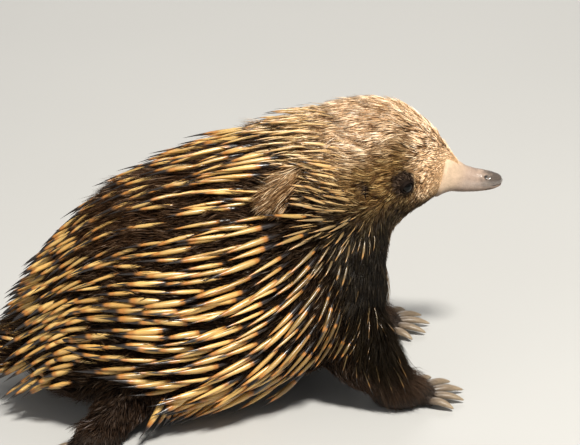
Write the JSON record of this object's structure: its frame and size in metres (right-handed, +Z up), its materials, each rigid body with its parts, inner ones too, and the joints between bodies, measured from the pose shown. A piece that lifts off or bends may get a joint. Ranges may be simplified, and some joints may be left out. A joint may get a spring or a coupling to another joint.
{
  "type": "short-beaked echidna",
  "caption": "Life-size still model of a short-beaked echidna standing with its head raised, its back and flanks covered in backswept spines.",
  "frame": {"origin": "on the floor under the middle of the model's outline", "axes": "+X towards the beak, +Y to the animal's left, +Z up; the soles stand on Z = 0"},
  "size_m": [0.3742, 0.2372, 0.203],
  "materials": {
    "spiny_coat": "cream spines with dark tips over dark brown fur",
    "head_fur": "short brown fur",
    "leg_fur": "dark brown bristly fur",
    "beak_skin": "smooth bare skin, satin",
    "eye": "wet black",
    "claw_horn": "satin horn"
  },
  "bodies": {
    "root": {"beak": "beak_skin", "ear_left": "head_fur", "ear_right": "head_fur", "eye_left": "eye", "eye_right": "eye", "foreleg_claw_left_1": "claw_horn", "foreleg_claw_left_2": "claw_horn", "foreleg_claw_left_3": "claw_horn", "foreleg_claw_left_4": "claw_horn", "foreleg_claw_left_5": "claw_horn", "foreleg_claw_right_1": "claw_horn", "foreleg_claw_right_2": "claw_horn", "foreleg_claw_right_3": "claw_horn", "foreleg_claw_right_4": "claw_horn", "foreleg_claw_right_5": "claw_horn", "foreleg_left": "leg_fur", "foreleg_right": "leg_fur", "head": "head_fur", "hindleg_claw_left_1": "claw_horn", "hindleg_claw_left_2": "claw_horn", "hindleg_claw_left_3": "claw_horn", "hindleg_claw_left_4": "claw_horn", "hindleg_claw_left_5": "claw_horn", "hindleg_claw_right_1": "claw_horn", "hindleg_claw_right_2": "claw_horn", "hindleg_claw_right_3": "claw_horn", "hindleg_claw_right_4": "claw_horn", "hindleg_claw_right_5": "claw_horn", "hindleg_left": "leg_fur", "hindleg_right": "leg_fur", "neck": "head_fur", "tail": "spiny_coat", "torso": "spiny_coat"}
  },
  "joints": []
}
